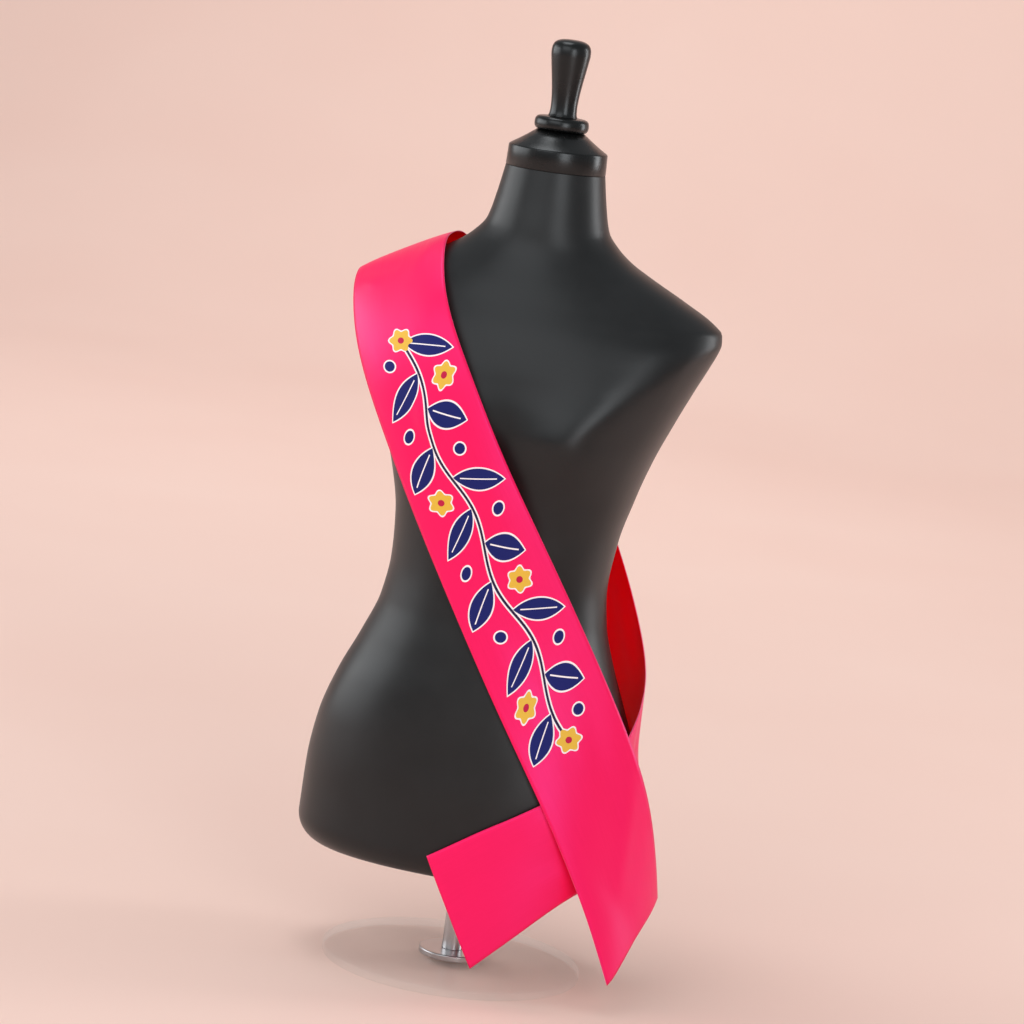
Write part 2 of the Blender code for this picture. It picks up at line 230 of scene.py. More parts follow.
def makeGlassMaterial():
    # clear toughened glass: almost no colour through its 8 mm, with a faint dust that shows in the gloss;
    # thinned by alpha, because light that is bent through a plate never reaches the floor right under it
    skin = glassSkin
    material, tree, shader = newMaterial("clearToughenedGlass", {
        "Base Color": linear(skin["colour"]), "IOR": skin["ior"], "Alpha": skin["alpha"],
    })
    place = addNode(tree, "ShaderNodeTexCoord")
    dust = addNode(tree, "ShaderNodeTexNoise", None, {
        "Vector": place.outputs["Object"], "Scale": 1.0 / skin["dustSize"], "Detail": 3.0,
    })
    rough = addNode(tree, "ShaderNodeMapRange", None, {
        "Value": dust.outputs["Fac"], "To Min": skin["smooth"], "To Max": skin["dull"],
    })
    tree.links.new(rough.outputs["Result"], shader.inputs["Roughness"])
    return material


steelMaterial = makeSteelMaterial()
glassMaterial = makeGlassMaterial()
print("form materials made")


# the torso: a smooth shell without arms, lofted through its sections

torsoForm = {
    "neckTop": 0.772, "bottom": 0.102, "bottomRound": 0.028,
    "ringPoints": 168, "rings": 190, "bottomRings": 14, "sharpAngle": 60,
    # the bust and the ridge that runs from it to the tip of the shoulder
    "bustOut": 0.072, "bustBelow": 0.243, "bustSwell": 0.019, "bustInner": 0.046, "bustOuter": 0.036,
    "bustFall": 0.042, "ridgeOut": 0.172, "ridgeBelow": 0.138, "ridgeSwell": 0.003, "ridgeThin": 0.8,
    "ridgeEase": 0.25, "ridgeSpread": 0.6, "ridgeTighten": 0.5, "ridgeFade": 0.021, "sideBlend": 0.5,
}
# below the neck's top, half width, front, back, corner (2 is an ellipse), lean of the middle to the left
torsoRows = (
    (0.000, 0.0470, 0.0470, 0.0470, 2.00, 0.0000),
    (0.028, 0.0520, 0.0510, 0.0530, 2.00, 0.0000),
    (0.052, 0.0580, 0.0550, 0.0610, 2.00, 0.0000),
    (0.066, 0.0690, 0.0570, 0.0670, 2.00, 0.0000),
    (0.078, 0.0840, 0.0600, 0.0720, 2.00, 0.0000),
    (0.090, 0.1060, 0.0640, 0.0770, 2.00, 0.0000),
    (0.106, 0.1385, 0.0700, 0.0825, 2.00, 0.0000),
    (0.122, 0.1668, 0.0760, 0.0875, 2.00, 0.0010),
    (0.131, 0.1758, 0.0795, 0.0900, 2.05, 0.0015),
    (0.140, 0.1766, 0.0830, 0.0925, 2.15, 0.0015),
    (0.150, 0.1739, 0.0865, 0.0950, 2.25, 0.0013),
    (0.163, 0.1690, 0.0905, 0.0970, 2.30, 0.0005),
    (0.190, 0.1570, 0.0965, 0.0995, 2.35, 0.0000),
    (0.221, 0.1435, 0.1000, 0.0990, 2.35, 0.0000),
    (0.260, 0.1280, 0.0980, 0.0940, 2.30, 0.0000),
    (0.298, 0.1165, 0.0945, 0.0865, 2.20, 0.0000),
    (0.340, 0.1075, 0.0910, 0.0770, 2.10, -0.0010),
    (0.382, 0.1045, 0.0900, 0.0710, 2.10, -0.0024),
    (0.420, 0.1090, 0.0920, 0.0740, 2.10, -0.0030),
    (0.460, 0.1223, 0.0970, 0.0860, 2.10, -0.0045),
    (0.500, 0.1388, 0.1020, 0.1020, 2.15, -0.0055),
    (0.545, 0.1540, 0.1055, 0.1160, 2.20, -0.0042),
    (0.590, 0.1615, 0.1075, 0.1220, 2.20, -0.0025),
    (0.642, 0.1641, 0.1065, 0.1220, 2.20, -0.0012),
)


def bustSwell(x, below):
    form = torsoForm
    rise = (form["bustBelow"] - below) / (form["bustBelow"] - form["ridgeBelow"])
    rise = min(1.0, max(0.0, rise))
    rise *= rise * (1.0 + form["ridgeEase"]) / (rise + form["ridgeEase"])
    centre = form["bustOut"] + (form["ridgeOut"] - form["bustOut"]) * rise
    height = form["bustSwell"] + (form["ridgeSwell"] - form["bustSwell"]) * rise ** form["ridgeThin"]
    side = abs(x) - centre
    if side < 0.0:
        side /= form["bustInner"] * (1.0 + form["ridgeSpread"] * rise)
    else:
        side /= form["bustOuter"] * (1.0 - form["ridgeTighten"] * rise)
    drop = max(0.0, below - form["bustBelow"]) / form["bustFall"]
    above = max(0.0, form["ridgeBelow"] - below) / form["ridgeFade"]
    return height * math.exp(-side * side - drop * drop - above * above)


def torsoPoint(values, below, turn, inset, height):
    halfWidth, front, back, corner, lean = values
    power = 2.0 / corner
    c, s = math.cos(turn), math.sin(turn)
    x = (halfWidth - inset) * math.copysign(abs(c) ** power, c)
    y = ((back if s > 0.0 else front) - inset) * math.copysign(abs(s) ** power, s)
    if y < 0.0:
        y -= bustSwell(x, below) * min(1.0, -y / (torsoForm["sideBlend"] * front))
    return Vector((x + lean, y, height))


def buildTorso():
    form = torsoForm
    lowest = form["neckTop"] - form["bottom"] - form["bottomRound"]
    rings = []
    for step in range(form["rings"]):
        below = lowest * step / form["rings"]
        rings.append((below, 0.0, form["neckTop"] - below))
    for step in range(form["bottomRings"] + 1):
        turn = 0.5 * math.pi * step / form["bottomRings"]
        inset = form["bottomRound"] * (1.0 - math.cos(turn))
        rings.append((lowest, inset, form["bottom"] + form["bottomRound"] * (1.0 - math.sin(turn))))
    values = [[smoothValue(torsoRows, i, ring[0]) for i in range(1, 6)] for ring in rings]

    def place(across, along):
        index = round(along * (len(rings) - 1))
        below, inset, height = rings[index]
        return torsoPoint(values[index], below, 2.0 * math.pi * across, inset, height)

    bm = placeGrid(form["ringPoints"], len(rings) - 1, place)
    closeSkin(bm)
    return finishPiece("torsoShell", bm, [shellMaterial], ["torso"], form["sharpAngle"])


torso = buildTorso()
print("torso:", len(torso.data.polygons), "faces")


# turned pieces: the neck cap, the finial and the stand

turned = {"steps": 96, "roundSteps": 5, "edgeSteps": 4, "sharpAngle": 50}


def turnPiece(name, profile, material, replaced, rounding=(), base=0.0):
    # profile: radius and height from the bottom up, spun round the axis
    # rounding: (index, radius) of each edge of the profile that is rounded off
    bm = bmesh.new()
    chain = [bm.verts.new((radius, 0.0, base + height)) for radius, height in profile]
    for lower, upper in zip(chain, chain[1:]):
        bm.edges.new((lower, upper))
    for index, radius in rounding:
        bmesh.ops.bevel(bm, geom=[chain[index]], offset=radius, offset_type="OFFSET",
                        segments=turned["roundSteps"], profile=0.5, affect="VERTICES", material=-1)
    bmesh.ops.spin(bm, geom=bm.verts[:] + bm.edges[:], axis=(0, 0, 1), cent=(0, 0, 0),
                   angle=2.0 * math.pi, steps=turned["steps"], use_merge=True)
    closeSkin(bm)
    return finishPiece(name, bm, [material], replaced, turned["sharpAngle"])


neckCap = {
    "profile": ((0.0466, 0.0003), (0.0472, 0.0012), (0.0466, 0.0197), (0.0385, 0.0248), (0.0300, 0.0306),
                (0.0225, 0.0362)),
    "rounding": ((2, 0.0012),),
}
collar = {
    "profile": ((0.0205, 0.0365), (0.0232, 0.0371), (0.0250, 0.0391), (0.0256, 0.0428), (0.0250, 0.0465),
                (0.0231, 0.0487), (0.0200, 0.0495), (0.0150, 0.0498)),
    "steps": 4,
}
handle = {
    "profile": ((0.0138, 0.0501), (0.0128, 0.0535), (0.0125, 0.0605), (0.0131, 0.0700), (0.0146, 0.0820),
                (0.0163, 0.0930), (0.0178, 0.1030), (0.0185, 0.1095), (0.0179, 0.1150), (0.0155, 0.1190),
                (0.0105, 0.1213), (0.0045, 0.1221)),
    "steps": 5,
}
neckTop = torsoForm["neckTop"]
turnPiece("neckCap", neckCap["profile"], glossMaterial, ["neck_cap"],
          neckCap["rounding"], neckTop)
turnPiece("finialCollar", curveThrough(collar["profile"], collar["steps"]), glossMaterial,
          ["finial_collar"], base=neckTop)
turnPiece("finialHandle", curveThrough(handle["profile"], handle["steps"]), glossMaterial,
          ["finial_handle"], base=neckTop)

stand = {
    "plateRadius": 0.125, "plateThick": 0.008, "plateBevel": 0.0012, "seat": 0.0003,
    "flangeRadius": 0.032, "flangeThick": 0.006, "flangeBevel": 0.0012, "rodRadius": 0.010,
}
flangeLow = stand["plateThick"] + stand["seat"]
flangeTop = flangeLow + stand["flangeThick"]
plate = turnPiece("glassPlate", ((stand["plateRadius"], 0.0), (stand["plateRadius"], stand["plateThick"])),
                  glassMaterial, ["base_plate"])
flange = turnPiece("standFlange", ((stand["flangeRadius"], flangeLow), (stand["flangeRadius"], flangeTop)),
                   steelMaterial, ["stand_flange"])
turnPiece("standRod", ((stand["rodRadius"], flangeTop + stand["seat"]),
                       (stand["rodRadius"], torsoForm["bottom"] - stand["seat"])),
          steelMaterial, ["stand_rod"])
for piece, width in ((plate, stand["plateBevel"]), (flange, stand["flangeBevel"])):
    soften = piece.modifiers.new("edge", "BEVEL")
    soften.width = width
    soften.segments = turned["edgeSteps"]
    soften.limit_method = "ANGLE"
    soften.angle_limit = math.radians(turned["sharpAngle"])
print("turned pieces made")


# the sash: one strip of satin, laid through its sections

sash = {
    "width": 0.104, "wall": 0.0008, "clear": 0.0012, "frontCut": 1.45, "evenOut": 3, "rowSteps": 3,
    "crownPower": 3.0, "fineSteps": 12, "columns": 32, "settle": 3, "uvMetres": 2.0, "shoulderRow": 15,
    "creaseEnd": 0.02, "creaseEase": 0.7,
}
# arm edge x y z, neck edge x y z, width, bow of the middle, in metres; the rows run from the front end over
# the shoulder to the other end
sashRows = (
    (0.1685, -0.088, 0.0305, 0.195, 0.006, 0.050, 0.101, 0.007),
    (0.152, -0.091, 0.070, 0.193, -0.002, 0.085, 0.101, 0.008),
    (0.136, -0.095, 0.105, 0.189, -0.011, 0.120, 0.101, 0.008),
    (0.115, -0.099, 0.146, 0.182, -0.027, 0.164, 0.101, 0.007),
    (0.092, -0.103, 0.188, 0.172, -0.045, 0.207, 0.102, 0.006),
    (0.061, -0.105, 0.236, 0.152, -0.062, 0.258, 0.103, 0.004),
    (0.023, -0.104, 0.293, 0.123, -0.076, 0.316, 0.104, 0.003),
    (-0.013, -0.101, 0.352, 0.087, -0.088, 0.377, 0.104, 0.003),
    (-0.051, -0.099, 0.415, 0.049, -0.101, 0.441, 0.104, 0.005),
    (-0.086, -0.096, 0.475, 0.010, -0.111, 0.505, 0.104, 0.008),
    (-0.118, -0.090, 0.529, -0.022, -0.111, 0.564, 0.104, 0.008),
    (-0.143, -0.075, 0.572, -0.054, -0.101, 0.618, 0.104, 0.007),
    (-0.158, -0.057, 0.602, -0.072, -0.082, 0.651, 0.103, 0.006),
    (-0.167, -0.042, 0.624, -0.082, -0.057, 0.676, 0.100, 0.005),
    (-0.172, -0.024, 0.643, -0.090, -0.029, 0.693, 0.098, 0.003),
    (-0.173, 0.002, 0.656, -0.093, 0.000, 0.698, 0.096, 0.002),
    (-0.171, 0.031, 0.651, -0.088, 0.029, 0.699, 0.099, 0.002),
    (-0.163, 0.057, 0.630, -0.083, 0.054, 0.686, 0.101, 0.004),
    (-0.151, 0.078, 0.599, -0.074, 0.077, 0.661, 0.103, 0.006),
    (-0.134, 0.092, 0.560, -0.056, 0.097, 0.630, 0.104, 0.005),
    (-0.107, 0.100, 0.520, -0.028, 0.107, 0.588, 0.104, 0.004),
    (-0.078, 0.103, 0.482, 0.004, 0.109, 0.546, 0.104, 0.003),
    (-0.048, 0.104, 0.441, 0.036, 0.104, 0.502, 0.104, 0.003),
    (-0.016, 0.106, 0.400, 0.067, 0.090, 0.459, 0.104, 0.003),
    (0.018, 0.108, 0.360, 0.097, 0.071, 0.416, 0.104, 0.004),
    (0.052, 0.109, 0.316, 0.123, 0.052, 0.365, 0.104, 0.005),
    (0.088, 0.104, 0.270, 0.143, 0.033, 0.320, 0.104, 0.006),
    (0.120, 0.086, 0.225, 0.150, 0.012, 0.288, 0.104, 0.005),
    (0.143, 0.058, 0.187, 0.148, -0.006, 0.263, 0.104, 0.004),
    (0.157, 0.028, 0.160, 0.143, -0.026, 0.241, 0.104, 0.004),
    (0.161, -0.006, 0.143, 0.131, -0.060, 0.223, 0.103, 0.005),
    (0.152, -0.038, 0.131, 0.112, -0.084, 0.208, 0.101, 0.006),
    (0.134, -0.064, 0.118, 0.089, -0.098, 0.191, 0.098, 0.006),
    (0.112, -0.084, 0.102, 0.063, -0.105, 0.174, 0.096, 0.005),
    (0.088, -0.098, 0.079, 0.038, -0.109, 0.159, 0.101, 0.004),
    (0.064, -0.106, 0.052, 0.012, -0.111, 0.144, 0.106, 0.003),
    (0.041, -0.110, 0.028, -0.014, -0.111, 0.128, 0.112, 0.002),
)
# soft creases, in metres on the strip: below the shoulder (minus is down the back) and from the arm edge, at
# both ends, then height (minus is a trough) and half width
creases = (
    (0.016, 0.002, 0.048, 0.056, -0.0013, 0.009),
    (0.010, 0.100, 0.070, 0.070, 0.0011, 0.010),
    (0.095, 0.104, 0.190, 0.078, -0.0009, 0.010),
    (0.150, 0.030, 0.330, 0.042, -0.0011, 0.016),
    (0.240, 0.082, 0.430, 0.072, 0.0012, 0.014),
    (0.400, 0.020, 0.560, 0.034, 0.0011, 0.012),
    (0.470, 0.090, 0.640, 0.060, -0.0014, 0.014),
    (0.590, 0.104, 0.700, 0.040, 0.0017, 0.012),
    (0.620, 0.020, 0.740, 0.050, -0.0013, 0.014),
    (-0.040, 0.000, -0.105, 0.066, 0.0016, 0.010),
    (-0.075, 0.104, -0.150, 0.046, -0.0012, 0.009),
    (-0.140, 0.070, -0.330, 0.050, -0.0018, 0.013),
    (-0.260, 0.020, -0.440, 0.034, 0.0017, 0.011),
    (-0.390, 0.100, -0.540, 0.062, -0.0020, 0.011),
    (-0.450, 0.000, -0.620, 0.050, 0.0021, 0.010),
    (-0.560, 0.104, -0.700, 0.040, -0.0017, 0.009),
    (-0.660, 0.015, -0.800, 0.030, 0.0012, 0.012),
    (-0.780, 0.080, -0.880, 0.060, -0.0010, 0.013),
)


def evenRows(points):
    # each row but the first and last is drawn towards the rows beside it
    points[1:-1] = 0.25 * points[:-2] + 0.5 * points[1:-1] + 0.25 * points[2:]


def sashGrid():
    # points of the strip's inner face
    sections = curveThrough(sashRows, sash["rowSteps"])
    for _ in range(sash["evenOut"]):
        evenRows(sections)
    fine = curveThrough(sections, sash["fineSteps"] // sash["rowSteps"])
    across = np.linspace(0.0, 1.0, sash["columns"] + 1)
    lines = len(fine)
    # at the front end the neck edge is shorter, so the lines there start later towards that edge
    start = sash["frontCut"] * across * sash["fineSteps"]
    shoulder = sash["shoulderRow"] * sash["fineSteps"]
    step = np.arange(lines)[:, None]
    place = np.where(step < shoulder, start + (shoulder - start) * step / shoulder, step)
    low = np.minimum(place.astype(int), lines - 2)
    share = (place - low)[..., None]
    here = fine[low] * (1.0 - share) + fine[low + 1] * share
    along = fine[low + 1, 0:3] - fine[low, 0:3] + fine[low + 1, 3:6] - fine[low, 3:6]
    along /= np.linalg.norm(along, axis=2, keepdims=True)
    arm, neck = here[..., 0:3], here[..., 3:6]
    side = neck - arm
    side /= np.linalg.norm(side, axis=2, keepdims=True)
    out = np.cross(side, along)
    square = np.linalg.norm(out, axis=2, keepdims=True)
    crown = (1.0 - np.abs(2.0 * across - 1.0) ** sash["crownPower"])[None, :, None]
    width, bow = here[..., 6:7], here[..., 7:8]
    return (0.5 * (arm + neck) + side * width / square * (across[None, :, None] - 0.5)
            + out / square * bow * crown)


def gridNormals(points):
    along = np.gradient(points, axis=0)
    side = np.gradient(points, axis=1)
    normals = np.cross(side, along)
    return normals / np.linalg.norm(normals, axis=2, keepdims=True)


def heldOff(points, tree, clear):
    # each point, moved out of the form where it is closer than clear
    moved = points.copy()
    for index in np.ndindex(points.shape[:2]):
        point = Vector(points[index])
        nearest, normal, _, _ = tree.find_nearest(point)
        short = clear - (point - nearest).dot(normal)
        if short > 0.0:
            moved[index] = point + normal * short
    return moved


def layCreases(points, alongLength, acrossLength):
    heights = np.zeros(points.shape[:2])
    for v0, u0, v1, u1, height, half in creases:
        run = np.array((v1 - v0, u1 - u0))
        length = np.linalg.norm(run)
        dv, du = alongLength - v0, acrossLength - u0
        share = np.clip((dv * run[0] + du * run[1]) / length ** 2, 0.0, 1.0)
        away = np.hypot(dv - share * run[0], du - share * run[1])
        inside = np.clip(share, sash["creaseEnd"], 1.0 - sash["creaseEnd"])
        fade = np.sin(math.pi * inside) ** sash["creaseEase"]
        heights += height * fade * np.exp(-(away / half) ** 2)
    return points + gridNormals(points) * heights[..., None]


def buildSash(materials):
    deps = bpy.context.evaluated_depsgraph_get()
    tree = BVHTree.FromObject(torso, deps)
    points = sashGrid()
    middle = points[:, sash["columns"] // 2]
    run = np.concatenate(([0.0], np.cumsum(np.linalg.norm(np.diff(middle, axis=0), axis=1))))
    shoulder = run[sash["shoulderRow"] * sash["fineSteps"]]
    alongLength = np.repeat((shoulder - run)[:, None], sash["columns"] + 1, axis=1)
    acrossLength = np.tile(np.linspace(0.0, sash["width"], sash["columns"] + 1), (len(run), 1))
    points = heldOff(points, tree, sash["clear"])
    for _ in range(sash["settle"]):
        evenRows(points)
        evenRows(points.swapaxes(0, 1))
    points = layCreases(points, alongLength, acrossLength)
    points = heldOff(points, tree, sash["clear"])
    outer = points + gridNormals(points) * sash["wall"]
    lines, columns = outer.shape[:2]

    def place(across, along):
        return Vector(outer[round(along * (lines - 1)), round(across * (columns - 1))])

    bm = placeGrid(columns - 1, lines - 1, place)
    uv = bm.loops.layers.uv.active
    for face in bm.faces:
        for loop in face.loops:
            line = round(loop[uv].uv.y * (lines - 1))
            # metres on the cloth, across from the arm edge and along from the front end
            loop[uv].uv = (loop[uv].uv.x * sash["width"] / sash["uvMetres"], run[line] / sash["uvMetres"])
    piece = finishPiece("satinSash", bm, materials, ["sash_front", "sash_back", "sash_tail"])
    wall = piece.modifiers.new("wall", "SOLIDIFY")
    wall.thickness = sash["wall"]
    wall.offset = -1.0
    wall.material_offset = 1
    wall.material_offset_rim = 2
    print("sash:", lines, "x", columns, "points,", round(float(run[-1]), 3), "m long, shoulder at",
          round(float(shoulder), 3))
    return piece, float(shoulder)


# satin and its printed garland

satin = {
    "face": "#ff195a", "faceDeep": "#fa1250", "reverse": "#ff0018", "reverseDeep": "#f60010",
    # the two edge colours are a lighter pink on the cut rim: a painted highlight where light catches the edge
    "edge": "#ff86a8", "edgePaintedHighlightDeep": "#ff6f98", "smooth": 0.36, "dull": 0.45, "inkDulls": 0.25,
    "sheen": 0.08, "sheenRough": 0.45, "sheenTint": "#ff5fa8",
    "ior": 1.45, "gloss": 0.95, "glossTint": "#a884ff", "glossStretch": 0.40,
    "plainGloss": 0.08, "reverseRough": 0.60, "edgeRough": 0.45,
    "glow": 0.85, "glowRadius": (1.0, 0.05, 0.07), "glowScale": 0.003,
    "threadGap": 0.0011, "threadBend": 0.6, "slubWidth": 0.0016, "slubLength": 0.050, "threadShare": 0.35,
    "threadStrength": 0.25, "faceDepth": 0.00006, "plainDepth": 0.00008,
}
garland = {
    "top": 0.128, "cell": 0.0338, "cells": 12,             # below the shoulder, and one leaf's length of stem
    "middle": 0.052, "sway": 0.006, "swayLength": 0.1352, "stemHalf": 0.0012,
    "leafOut": 0.0205, "leafTurn": 36.0, "leafLong": 0.0235, "leafHalf": 0.0104,
    "ribHalf": 0.0006, "ribShare": 0.72,
    "roseOut": 0.0235, "roseRadius": 0.0104, "petals": 6.0, "petalDepth": 0.15, "heartRadius": 0.0032,
    "budRadius": 0.0052, "outline": 0.0015,
    "navy": "#00205c", "gold": "#ecc02c", "red": "#c41f2e", "white": "#fbf7f8", "black": "#1b1a1d",
}


def addThreads(tree, shader, uvNode, depth):
    # satin's long floats: fine threads along the strip, and slubs that widen some of them
    stretch = addNode(tree, "ShaderNodeMapping", None, {
        "Vector": uvNode.outputs["UV"],
        "Scale": (sash["uvMetres"] / satin["slubWidth"], sash["uvMetres"] / satin["slubLength"], 1.0),
    })
    slubs = addNode(tree, "ShaderNodeTexNoise", None, {
        "Vector": stretch.outputs["Vector"], "Scale": 1.0, "Detail": 2.0,
    })
    threads = addNode(tree, "ShaderNodeTexWave", {"bands_direction": "X"}, {
        # 1.1 mm from thread to thread, ten times coarser than real, so that it shows in a close look; the
        # wave texture turns by 20 radians over each unit
        "Vector": uvNode.outputs["UV"], "Scale": sash["uvMetres"] / satin["threadGap"] * 2.0 * math.pi / 20.0,
        "Distortion": satin["threadBend"], "Detail": 1.0,
    })
    height = addNode(tree, "ShaderNodeMix", {"data_type": "FLOAT"}, {
        0: satin["threadShare"], 2: slubs.outputs["Fac"], 3: threads.outputs["Fac"],
    })
    bump = addNode(tree, "ShaderNodeBump", None, {
        "Height": height.outputs[0], "Strength": satin["threadStrength"], "Distance": depth,
    })
    tree.links.new(bump.outputs["Normal"], shader.inputs["Normal"])
    return slubs


def makeSatinFace(shoulder):
    # polyester satin: smooth and vivid, with a soft gloss that stretches across the threads
    # the print is flat dye, and only dulls the gloss a little
    material, tree, shader = newMaterial("polyesterSatinFace", {
        "IOR": satin["ior"], "Sheen Weight": satin["sheen"], "Sheen Roughness": satin["sheenRough"],
        "Sheen Tint": linear(satin["sheenTint"]), "Specular IOR Level": satin["gloss"],
        "Specular Tint": linear(satin["glossTint"]), "Anisotropic": satin["glossStretch"],
    })
    uvNode = addNode(tree, "ShaderNodeUVMap", {"uv_map": "UVMap"})
    slubs = addThreads(tree, shader, uvNode, satin["faceDepth"])
    tangent = addNode(tree, "ShaderNodeTangent", {"direction_type": "UV_MAP", "uv_map": "UVMap"})
    tree.links.new(tangent.outputs["Tangent"], shader.inputs["Tangent"])
    metres = addNode(tree, "ShaderNodeVectorMath", {"operation": "SCALE"}, {
        0: uvNode.outputs["UV"], "Scale": sash["uvMetres"],
    })
    split = addNode(tree, "ShaderNodeSeparateXYZ", None, {0: metres.outputs["Vector"]})
    g = garland
    half = 0.5 * g["cells"] * g["cell"]
    turn = math.radians(g["leafTurn"])
    made = {"x": split.outputs["X"], "v": split.outputs["Y"]}
    # each line: name, operation, inputs; y is metres below the shoulder, a gap is below zero inside a motif
    steps = (
        ("y", "SUBTRACT", shoulder, "v"),
        ("swayTurn", "MULTIPLY", "y", 2.0 * math.pi / g["swayLength"]),
        ("swaySine", "SINE", "swayTurn"),
        ("stemX", "MULTIPLY_ADD", "swaySine", g["sway"], g["middle"]),
        ("fromStem", "SUBTRACT", "x", "stemX"),
        ("stemAway", "ABSOLUTE", "fromStem"),
        ("stemGap", "SUBTRACT", "stemAway", g["stemHalf"]),
        ("cellY", "SUBTRACT", "y", g["top"]),
        ("cellAt", "DIVIDE", "cellY", g["cell"]),
        ("cellIndex", "FLOOR", "cellAt"),
        ("cellShare", "SUBTRACT", "cellAt", "cellIndex"),
        ("inCell", "MULTIPLY_ADD", "cellShare", g["cell"], -0.5 * g["cell"]),
        ("odd", "PINGPONG", "cellIndex", 1.0),
        ("sideSign", "MULTIPLY_ADD", "odd", -2.0, 1.0),
        ("fromStemSide", "MULTIPLY", "fromStem", "sideSign"),
        ("leafX", "SUBTRACT", "fromStemSide", g["leafOut"]),
        ("leafXcos", "MULTIPLY", "leafX", math.cos(turn)),
        ("leafXsin", "MULTIPLY", "leafX", -math.sin(turn)),
        ("leafA", "MULTIPLY_ADD", "inCell", math.sin(turn), "leafXcos"),
        ("leafB", "MULTIPLY_ADD", "inCell", math.cos(turn), "leafXsin"),
        ("leafShare", "DIVIDE", "leafA", g["leafLong"]),
        ("leafSquare", "MULTIPLY", "leafShare", "leafShare"),
        ("leafTaper", "MULTIPLY_ADD", "leafSquare", g["leafHalf"], -g["leafHalf"]),
        ("leafAway", "ABSOLUTE", "leafB"),
        ("leafGap", "ADD", "leafAway", "leafTaper"),
        ("ribSide", "SUBTRACT", "leafAway", g["ribHalf"]),
        ("leafReach", "ABSOLUTE", "leafA"),
        ("ribEnd", "SUBTRACT", "leafReach", g["ribShare"] * g["leafLong"]),
        ("ribGap", "MAXIMUM", "ribSide", "ribEnd"),
        ("roseX", "ADD", "fromStemSide", g["roseOut"]),
        ("roseXX", "MULTIPLY", "roseX", "roseX"),
        ("roseRR", "MULTIPLY_ADD", "inCell", "inCell", "roseXX"),
        ("roseR", "SQRT", "roseRR"),
        ("roseAngle", "ARCTAN2", "inCell", "roseX"),
        ("rosePetals", "MULTIPLY", "roseAngle", g["petals"]),
        ("roseWave", "COSINE", "rosePetals"),
        ("roseRim", "MULTIPLY_ADD", "roseWave", g["roseRadius"] * g["petalDepth"], g["roseRadius"]),
        ("third", "FLOORED_MODULO", "cellIndex", 3.0),
        ("thirdFar", "SUBTRACT", "third", 1.0),
        ("thirdAway", "ABSOLUTE", "thirdFar"),
        ("noRose", "GREATER_THAN", "thirdAway", 0.5),
        ("roseOnly", "SUBTRACT", "roseR", "roseRim"),
        ("roseGap", "ADD", "roseOnly", "noRose"),
        ("heartOnly", "SUBTRACT", "roseR", g["heartRadius"]),
        ("heartGap", "ADD", "heartOnly", "noRose"),
        ("budOnly", "SUBTRACT", "roseR", g["budRadius"]),
        ("isRose", "SUBTRACT", 1.0, "noRose"),
        ("budGap", "ADD", "budOnly", "isRose"),
        ("fromMiddle", "SUBTRACT", "y", g["top"] + half),
        ("farMiddle", "ABSOLUTE", "fromMiddle"),
        ("endY", "SUBTRACT", "farMiddle", half),
        ("within", "LESS_THAN", "endY", 0.0),
        ("endYY", "MULTIPLY", "endY", "endY"),
        ("endRR", "MULTIPLY_ADD", "fromStem", "fromStem", "endYY"),
        ("endR", "SQRT", "endRR"),
        ("endAngle", "ARCTAN2", "fromStem", "endY"),
        ("endPetals", "MULTIPLY", "endAngle", g["petals"]),
        ("endWave", "COSINE", "endPetals"),
        ("endRim", "MULTIPLY_ADD", "endWave", g["roseRadius"] * g["petalDepth"], g["roseRadius"]),
        ("endGap", "SUBTRACT", "endR", "endRim"),
        ("nearA", "MINIMUM", "stemGap", "leafGap"),
        ("nearB", "MINIMUM", "roseGap", "budGap"),
        ("near", "MINIMUM", "nearA", "nearB"),
        ("whiteIn", "LESS_THAN", "near", g["outline"]),
        ("whiteRow", "MULTIPLY", "whiteIn", "within"),
        ("whiteEnd", "LESS_THAN", "endGap", g["outline"]),
        ("white", "MAXIMUM", "whiteRow", "whiteEnd"),
        ("stemIn", "LESS_THAN", "stemGap", 0.0),
        ("stem", "MULTIPLY", "stemIn", "within"),
        ("leafIn", "LESS_THAN", "leafGap", 0.0),
        ("leaf", "MULTIPLY", "leafIn", "within"),
        ("ribIn", "LESS_THAN", "ribGap", 0.0),
        ("rib", "MULTIPLY", "ribIn", "leaf"),
        ("roseIn", "LESS_THAN", "roseGap", 0.0),
        ("roseRow", "MULTIPLY", "roseIn", "within"),
        ("roseEnd", "LESS_THAN", "endGap", 0.0),
        ("rose", "MAXIMUM", "roseRow", "roseEnd"),
        ("heartIn", "LESS_THAN", "heartGap", 0.0),
        ("heartRow", "MULTIPLY", "heartIn", "within"),
        ("heartEnd", "LESS_THAN", "endR", g["heartRadius"]),
        ("heart", "MAXIMUM", "heartRow", "heartEnd"),
        ("budIn", "LESS_THAN", "budGap", 0.0),
        ("bud", "MULTIPLY", "budIn", "within"),
    )
    for name, operation, *inputs in steps:
        values = {i: made[value] if isinstance(value, str) else value for i, value in enumerate(inputs)}
        made[name] = addNode(tree, "ShaderNodeMath", {"operation": operation}, values).outputs[0]
    colour = addNode(tree, "ShaderNodeMix", {"data_type": "RGBA"}, {
        0: slubs.outputs["Fac"], 6: linear(satin["face"]), 7: linear(satin["faceDeep"]),
    }).outputs[2]
    layers = (("white", "white"), ("stem", "black"), ("leaf", "navy"), ("rib", "white"), ("rose", "gold"),
              ("heart", "red"), ("bud", "navy"))
    for mask, ink in layers:
        colour = addNode(tree, "ShaderNodeMix", {"data_type": "RGBA"}, {
            0: made[mask], 6: colour, 7: linear(garland[ink]),
        }).outputs[2]
    tree.links.new(colour, shader.inputs["Base Color"])
